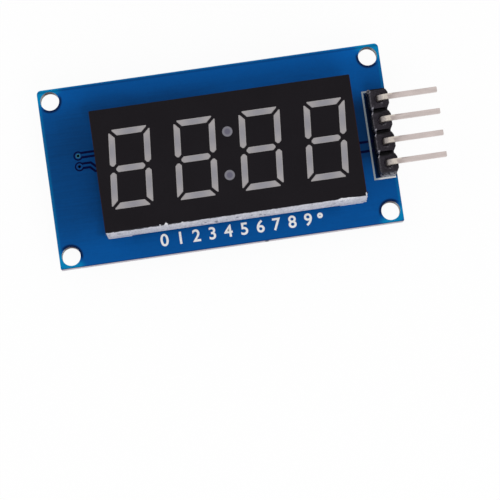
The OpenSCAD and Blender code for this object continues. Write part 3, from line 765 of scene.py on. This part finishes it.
def header_metal():
    """Dull plated pins, drawn along their length, with a painted highlight over the bend, a painted
    duller reflection just past the block, and painted shade at the bend's foot.
    """
    own = settings().header
    f = Finish("header metal")
    drawn = f.noise(0.07, place=f.stretched(x=26.0))
    bloom = f.noise(0.7, place=f.stretched(x=2.0), shift=3.0)
    past = f.x + (f.noise(0.5, shift=8.0) - 0.5) * 0.2 + f.y.wrapped(HEADER_PITCH) * 0.25 - BLOCK_HIGH.x
    # Painted highlight: the pins are made bright over the block, where their bends catch the light
    bend = past.rise(0.16, 0.0)
    colour = f.mix(own.pin, own.bend, bend)
    colour = f.shaded(f.shaded(colour, drawn, 0.34), bloom, 0.30)
    brown, dark = (0.35, 0.29, 0.27), (0.07, 0.06, 0.055)
    # Painted reflection: duller and browner just past the block's edge
    colour = f.mix(colour, brown, past.rise(1.3, 0.25) * (1 - bend) * 0.55)
    # Painted shade down the pins' rise from the block to the bend
    foot = f.z.rise(4.95, 4.55) * f.z.rise(0.4, 0.8) * (f.x - HEADER_CENTRE.x).rise(0.6, 0.3)
    colour = f.mix(colour, dark, foot * 0.85)
    return f.surface(colour, bloom * 0.2 + 0.32, metallic=0.72, bump=(drawn, 0.006))


def chip_plastic():
    """Black moulded epoxy with a fine spark-eroded grain."""
    f = Finish("chip plastic")
    grain = f.noise(0.07, roughness=0.8)
    cloud = f.noise(2.5, detail=2.0)
    colour = f.shaded(f.shaded(settings().parts.epoxy, grain, 0.8), cloud, 0.4)
    return f.surface(colour, 0.6, specular=0.3, bump=(grain, 0.012))


def ceramic(name, colour, depth):
    """Fired ceramic, speckled and slightly waxy."""
    f = Finish(name)
    grain = f.noise(0.06, roughness=0.7)
    cloud = f.noise(0.8, detail=2.0)
    return f.surface(f.shaded(f.shaded(colour, grain, depth), cloud, depth), 0.38, bump=(grain, 0.004))


def white_print():
    """White printing ink, with blue showing through where it is thin, and grey beside the header as
    painted shade.
    """
    own = settings().board
    f = Finish("white print")
    cover = f.noise(0.22, detail=4.0, roughness=0.7)
    beside = f.x - BLOCK_LOW.x
    # Painted shade: the print is grey on the line beside the header
    white = f.mix(own.print_white, own.print_shaded, beside.rise(-1.0, -0.8) * beside.rise(0.3, -0.2))
    see_through = (0.20, 0.30, 0.38)
    colour = f.mix(f.shaded(white, cover, 0.25), see_through, cover.rise(0.42, 0.22) * 0.6)
    return f.surface(colour, 0.6, specular=0.2, bump=(cover, 0.008))


def track_gap():
    """Dark bare laminate seen through the mask beside a track."""
    f = Finish("track gap")
    tone = f.noise(0.3)
    lighter = (0.0012, 0.002, 0.045)
    colour = f.mix(settings().board.gap, lighter, tone)
    return f.surface(colour, 0.4, specular=0.03, bump=(tone, 0.003))


def track_mask():
    """Mask over a raised copper track, lighter than the mask beside it."""
    f = Finish("track mask")
    tone = f.noise(0.8)
    colour = f.shaded(settings().tracks.colour, tone, 0.35)
    return f.surface(colour, 0.34, specular=0.2, bump=(tone, 0.004))


class DISPLAYMODULE_OT_board(Operator):
    """Finishes the circuit board, its copper and its two vias"""

    bl_idname = "display_module.board"
    bl_label = "Finish the board"

    def execute(self, context):
        dress(board_mask(), "circuit_board")
        dress(masked_copper(), "via_plating")
        copper = worn_metal("tinned copper", settings().parts.tin, 0.12)
        dress(copper, "display_hole_plating", "header_hole_plating", "surface_pads")
        return {"FINISHED"}


class DISPLAYMODULE_OT_print(Operator):
    """Prints the header's frame, the row of numerals and the ring in white"""

    bl_idname = "display_module.print"
    bl_label = "Print on the board"

    def execute(self, context):
        own, white = settings().board, white_print()
        self.add_frame(own, white)
        self.add_ring(own, white)
        self.add_numerals(own, white)
        return {"FINISHED"}

    def add_frame(self, own, white):
        """A line round three sides of the header's block."""
        line = own.line_width
        left, right = BLOCK_LOW.x - own.frame_gap, BOARD_HIGH.x - line
        near, far = BLOCK_LOW.y - line / 2, BLOCK_HIGH.y + line / 2
        route = [(right, far), (left, far), (left, near), (right, near)]
        bm = bmesh.new()
        add_band(bm, route, line, BOARD_HIGH.z, own.print_height)
        add_piece("header_frame_print", bm, white)

    def add_ring(self, own, white):
        """The small ring after the row of numerals."""
        place = (own.row_right + own.ring_gap, own.ring_rise - own.row_drop, BOARD_HIGH.z)
        bm = bmesh.new()
        bmesh.ops.create_circle(
            bm, cap_ends=True, radius=own.ring_radius, segments=40, matrix=Matrix.Translation(place)
        )
        disc = bm.faces[:]
        rim = bmesh.ops.inset_region(
            bm, faces=disc, thickness=own.ring_width, use_boundary=True, use_even_offset=True
        )
        bmesh.ops.delete(bm, geom=disc, context="FACES")
        thicken(bm, rim["faces"], own.print_height)
        add_piece("ring_print", bm, white)

    def add_numerals(self, own, white):
        """A row of plain numerals below the display, spread to the row's width."""
        text = bpy.data.curves.new("numerals", "FONT")
        text.body = "0123456789"
        text.size = own.numeral_height / NUMERAL_SHARE
        text.offset = NUMERAL_SWELL
        text.extrude = own.print_height / 2
        holder = show(bpy.data.objects.new("numerals", text))
        bpy.context.view_layer.update()
        count, plain = len(text.body), holder.dimensions.x
        more = own.row_left + own.row_right - plain
        text.space_character = 1 + more / (count - 1) / (plain / count)
        bpy.context.view_layer.update()
        graph = bpy.context.evaluated_depsgraph_get()
        mesh = bpy.data.meshes.new_from_object(holder.evaluated_get(graph))
        bpy.data.objects.remove(holder)
        xs, ys = zip(*(vert.co.xy for vert in mesh.vertices))
        middle = (min(ys) + max(ys)) / 2
        shift = (-own.row_left - min(xs), -own.row_drop - middle, BOARD_HIGH.z + own.print_height / 2)
        mesh.transform(Matrix.Translation(shift))
        bm = bmesh.new()
        bm.from_mesh(mesh)
        bmesh.ops.remove_doubles(bm, verts=bm.verts, dist=1e-5)
        add_piece("numerals_print", bm, white)


class DISPLAYMODULE_OT_tracks(Operator):
    """Draws the copper tracks: as dark gaps on the front, and as raised lines on the back"""

    bl_idname = "display_module.tracks"
    bl_label = "Draw the tracks"

    def execute(self, context):
        own = settings().tracks
        bm = bmesh.new()
        self.add_via_gaps(bm, own)
        self.add_header_gaps(bm, own)
        add_piece("track_gaps", bm, track_gap())

        bm = bmesh.new()
        for route in self.back_routes():
            add_band(bm, route, own.width, BOARD_LOW.z, -own.height)
        add_piece("back_tracks", bm, track_mask())
        return {"FINISHED"}

    def add_via_gaps(self, bm, own):
        """A gap round each via, which runs on along both sides of its track to the display."""
        radius, step = own.via_gap_radius, 0.55
        above, below = VIA_TRACK_SIDES
        first, last = (math.degrees(math.asin(side / radius)) for side in VIA_TRACK_SIDES)
        end, bend, low_bend = (CASE_LOW.x + along for along in (1.0, -0.78, -0.93))
        for y, turns in ((VIA_ROWS[1], False), (VIA_ROWS[0], True)):
            around = arc((VIA_X, y), radius, first, 360 + last, 28)
            upper, lower = [(end, y + above)], [(end, y + below)]
            if turns:
                high, low = y + above - step, y + below - step
                upper = [(end, high), (bend + step, high), (bend, y + above)]
                lower = [(low_bend, y + below), (low_bend + step, low), (end, low)]
            add_band(bm, upper + around + lower, own.gap_width, BOARD_HIGH.z, own.gap_height)

    def add_header_gaps(self, bm, own):
        """Gaps beside the track between the display and the header."""
        left, right = CASE_HIGH.x - 0.6, BLOCK_LOW.x + 0.2
        for y in HEADER_TRACK_SIDES:
            add_band(bm, [(left, y), (right, y)], own.gap_width * 1.1, BOARD_HIGH.z, own.gap_height)

    def back_routes(self):
        """Tracks from the driver chip to the display's pins, the header and the small parts."""
        first = DRIVER_CENTRE.y - (LEADS_IN_ROW - 1) / 2 * LEAD_PITCH
        rows = [first + i * LEAD_PITCH for i in range(LEADS_IN_ROW)]
        start = LEADS_HIGH.x - 0.4
        near, far = DISPLAY_PINS[:6], DISPLAY_PINS[6:]
        routes = []
        for y, pin in (*zip(rows[:5], near), (rows[8], far[0]), (rows[9], far[1])):
            routes.append([(start, y), (pin.x - (y - pin.y), y), (pin.x, pin.y)])
        low = rows[7] - 0.8
        turn = start + 0.8
        routes.append([
            (start, rows[7]), (turn, rows[7]), (turn + 0.8, low), (far[2].x - (far[2].y - low), low),
            (far[2].x, far[2].y),
        ])
        for y, pin in ((rows[6], far[3]), (rows[5], far[4])):
            routes.append([(start, y), (pin.x - (pin.y - y), y), (pin.x, pin.y)])

        # From the header's pins to the small parts beside them, and on round the display
        for i, part in enumerate(("resistor_1", "resistor_2", "capacitor_1", "capacitor_2")):
            y, right = middle_mm(part).y, box_mm(part)[1].x
            pin_y = HEADER_CENTRE.y + (1.5 - i) * HEADER_PITCH
            x = right + 0.6
            routes.append([(right, y), (x, y), (x + abs(pin_y - y), pin_y), (HEADER_CENTRE.x, pin_y)])
        inner, slope = LEADS_LOW.x + 0.9, 1.4
        for y, part, level in (
            (rows[9], "resistor_1", 7.7), (rows[8], "capacitor_3", 7.0),
            (rows[0], "capacitor_2", -7.9), (rows[1], "capacitor_4", -7.2),
        ):
            x = box_mm(part)[0].x - 0.1
            begin = inner + (0.6 if abs(level) < 7.5 else 0.0)
            routes.append([
                (inner - 0.5, y), (begin, y), (begin + abs(level - y), level), (x - slope, level),
                (x, level - math.copysign(slope, level)), (x, middle_mm(part).y),
            ])
        for y in VIA_ROWS:
            routes.append([(inner - 0.5, y), (VIA_X - 0.3, y)])
        return routes


class DISPLAYMODULE_OT_display(Operator):
    """Finishes the display's case, face, light areas, inner board and pins"""

    bl_idname = "display_module.display"
    bl_label = "Finish the display"

    def execute(self, context):
        plastic = case_plastic()
        dress(plastic, "display_case")
        self.add_flash(plastic)
        dress(face_ink(), "face_ink")
        dress(light_resin(), "light_resin")
        dress(inner_board(), "chip_board")
        dress(light_chip(), "colon_chips", *numbered("digit_chips", 4))
        drawn = worn_metal("display pin metal", settings().parts.tin, 0.06, stretch=(1, 1, 12))
        dress(drawn, *numbered("display_pin", 12))
        return {"FINISHED"}

    def add_flash(self, plastic):
        """A thin fin of moulding flash down the case's near right edge, with a spur at the face."""
        own = settings().display
        x, y, foot = CASE_HIGH.x - 0.03, CASE_LOW.y + 0.06, CASE_LOW.z + 0.15
        rise = INK_HIGH.z - foot
        bm = bmesh.new()
        bmesh.ops.create_grid(bm, x_segments=2, y_segments=10, size=0.5)
        for vert in bm.verts:
            out, up = vert.co.x + 0.5, vert.co.y + 0.5
            reach = own.flash_foot * (1 - up) + own.flash_tip * up
            wave = 0.03 * math.sin(17 * up + 2 * out)
            spur = own.flash_spur * max(0.0, (up - 0.9) / 0.1) ** 2
            vert.co = (x + out * (reach + wave * 2 + spur * 0.4), y + out * spur, foot + up * rise)
        bm.normal_update()
        bmesh.ops.solidify(bm, geom=bm.faces[:], thickness=own.flash_wall)
        add_piece("case_flash", bm, plastic)


class DISPLAYMODULE_OT_header(Operator):
    """Finishes the header's block and its bent pins"""

    bl_idname = "display_module.header"
    bl_label = "Finish the header"

    def execute(self, context):
        plastic = header_plastic()
        dress(plastic, "header_block")
        self.add_gate(plastic)
        dress(header_metal(), *numbered("header_pin", 4))
        return {"FINISHED"}

    def add_gate(self, plastic):
        """The stub of the moulding gate at the block's far left corner, with a dimple in its top."""
        radius = settings().header.gate_radius
        low, high = BLOCK_LOW.z + 0.3, BLOCK_HIGH.z - 0.02
        place = Matrix.Translation((*GATE, (low + high) / 2))
        bm = bmesh.new()
        sizes = {"radius1": radius, "radius2": radius, "depth": high - low}
        bmesh.ops.create_cone(bm, cap_ends=True, segments=28, matrix=place, **sizes)
        top = max(bm.faces, key=lambda face: face.calc_center_median().z)
        rounding = {"offset": 0.03, "segments": 2, "profile": 0.5, "material": -1, "affect": "EDGES"}
        bmesh.ops.bevel(bm, geom=top.edges[:], **rounding)
        top = max(bm.faces, key=lambda face: face.calc_center_median().z)
        bmesh.ops.inset_region(bm, faces=[top], thickness=radius * 0.4, use_even_offset=True)
        bmesh.ops.translate(bm, verts=top.verts[:], vec=(0, 0, -0.08))
        add_piece("header_gate", bm, plastic)


class DISPLAYMODULE_OT_parts(Operator):
    """Finishes the driver chip, the small parts and all solder"""

    bl_idname = "display_module.parts"
    bl_label = "Finish the parts on the back"

    def execute(self, context):
        own = settings().parts
        dress(chip_plastic(), "driver_chip")
        leads = worn_metal("lead metal", own.tin, 0.05, rough=0.28)
        dress(leads, "driver_leads", "resistor_ends", "capacitor_ends")
        dress(solder_metal(), "display_solder", "header_solder", "driver_solder", "small_part_solder")
        dress(ceramic("resistor coat", own.resistor, 0.5), "resistor_1", "resistor_2")
        dress(ceramic("capacitor ceramic", own.capacitor, 0.3), *numbered("capacitor", 4))
        return {"FINISHED"}


class DISPLAYMODULE_OT_stage(Operator):
    """Sets the camera, the lamps, the floor and the sky"""

    bl_idname = "display_module.stage"
    bl_label = "Set the stage"

    def execute(self, context):
        own = settings().stage
        scene = context.scene
        scene.view_settings.view_transform = "Standard"
        self.add_camera(scene, own)
        self.add_floor(own)
        self.add_lamp("key_lamp", (0.06, -0.22, 0.26), 0.22, own.key)
        self.add_lamp("fill_lamp", (-0.24, 0.12, 0.22), 0.25, own.fill)
        self.set_sky(scene, own)
        return {"FINISHED"}

    def add_camera(self, scene, own):
        """A camera set by its place and by the picture's two directions."""
        right, up = Vector(own.camera_right), Vector(own.camera_up)
        camera = show(bpy.data.objects.new("camera", bpy.data.cameras.new("camera")))
        camera.data.lens = own.lens
        camera.data.sensor_width = 36.0
        camera.data.clip_start = 0.01
        turn = Matrix((right, up, right.cross(up))).transposed()
        camera.matrix_world = Matrix.Translation(own.camera_place) @ turn.to_4x4()
        scene.camera = camera

    def add_floor(self, own):
        """A pale floor that the camera sees as near white, with the object's shadow kept."""
        bm = bmesh.new()
        bmesh.ops.create_grid(bm, x_segments=1, y_segments=1, size=1.5)
        mesh = bpy.data.meshes.new("floor")
        bm.to_mesh(mesh)
        bm.free()
        mesh.transform(Matrix.Translation((0, 0, CAD_BOUNDS[0].z)))
        f = Finish("pale floor")
        lit = f.node("ShaderNodeBsdfDiffuse", inputs={"Color": opaque(own.floor)})
        glow = f.node("ShaderNodeEmission", inputs={"Color": (1, 1, 1, 1), "Strength": 1.0})
        path = f.node("ShaderNodeLightPath")
        camera, glossy, through = (
            Number(f, path.outputs[f"Is {ray} Ray"]) for ray in ("Camera", "Glossy", "Transmission")
        )
        seen = camera.most(glossy).most(through) * 0.94
        blend = f.node("ShaderNodeMixShader", inputs={0: seen, 1: lit.outputs[0], 2: glow.outputs[0]})
        mesh.materials.append(f.end(blend))
        floor = show(bpy.data.objects.new("floor", mesh))

    def add_lamp(self, name, place, size, power):
        """A soft round lamp that points at the module."""
        lamp = bpy.data.lights.new(name, "AREA")
        lamp.shape = "DISK"
        lamp.size = size
        lamp.energy = power
        holder = show(bpy.data.objects.new(name, lamp))
        holder.location = place
        holder.rotation_mode = "QUATERNION"
        holder.rotation_quaternion = (-Vector(place)).to_track_quat("-Z", "Y")

    def set_sky(self, scene, own):
        """Plain white light from all round."""
        world = bpy.data.worlds.new("soft sky")
        world.use_nodes = True
        background = world.node_tree.nodes["Background"]
        background.inputs["Color"].default_value = (1, 1, 1, 1)
        background.inputs["Strength"].default_value = own.sky
        scene.world = world


class DISPLAYMODULE_PT_panel(Panel):
    """Lists the steps that dress the display module"""

    bl_idname = "DISPLAYMODULE_PT_panel"
    bl_label = "Display module"
    bl_space_type = "VIEW_3D"
    bl_region_type = "UI"
    bl_category = "Display module"

    def draw(self, context):
        for step in STEPS:
            self.layout.operator(step.bl_idname)


GROUPS = (
    BoardSettings, TrackSettings, DisplaySettings, HeaderSettings, PartSettings, StageSettings,
    ModuleSettings,
)
STEPS = (
    DISPLAYMODULE_OT_board, DISPLAYMODULE_OT_print, DISPLAYMODULE_OT_tracks, DISPLAYMODULE_OT_display,
    DISPLAYMODULE_OT_header, DISPLAYMODULE_OT_parts, DISPLAYMODULE_OT_stage,
)


def register():
    for kind in (*GROUPS, *STEPS, DISPLAYMODULE_PT_panel):
        bpy.utils.register_class(kind)
    bpy.types.Scene.display_module = PointerProperty(type=ModuleSettings)


def unregister():
    del bpy.types.Scene.display_module
    for kind in reversed((*GROUPS, *STEPS, DISPLAYMODULE_PT_panel)):
        bpy.utils.unregister_class(kind)


def main():
    """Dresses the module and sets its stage."""
    register()
    bpy.ops.display_module.board()
    bpy.ops.display_module.print()
    bpy.ops.display_module.tracks()
    bpy.ops.display_module.display()
    bpy.ops.display_module.header()
    bpy.ops.display_module.parts()
    bpy.ops.display_module.stage()


if __name__ == "__main__":
    main()
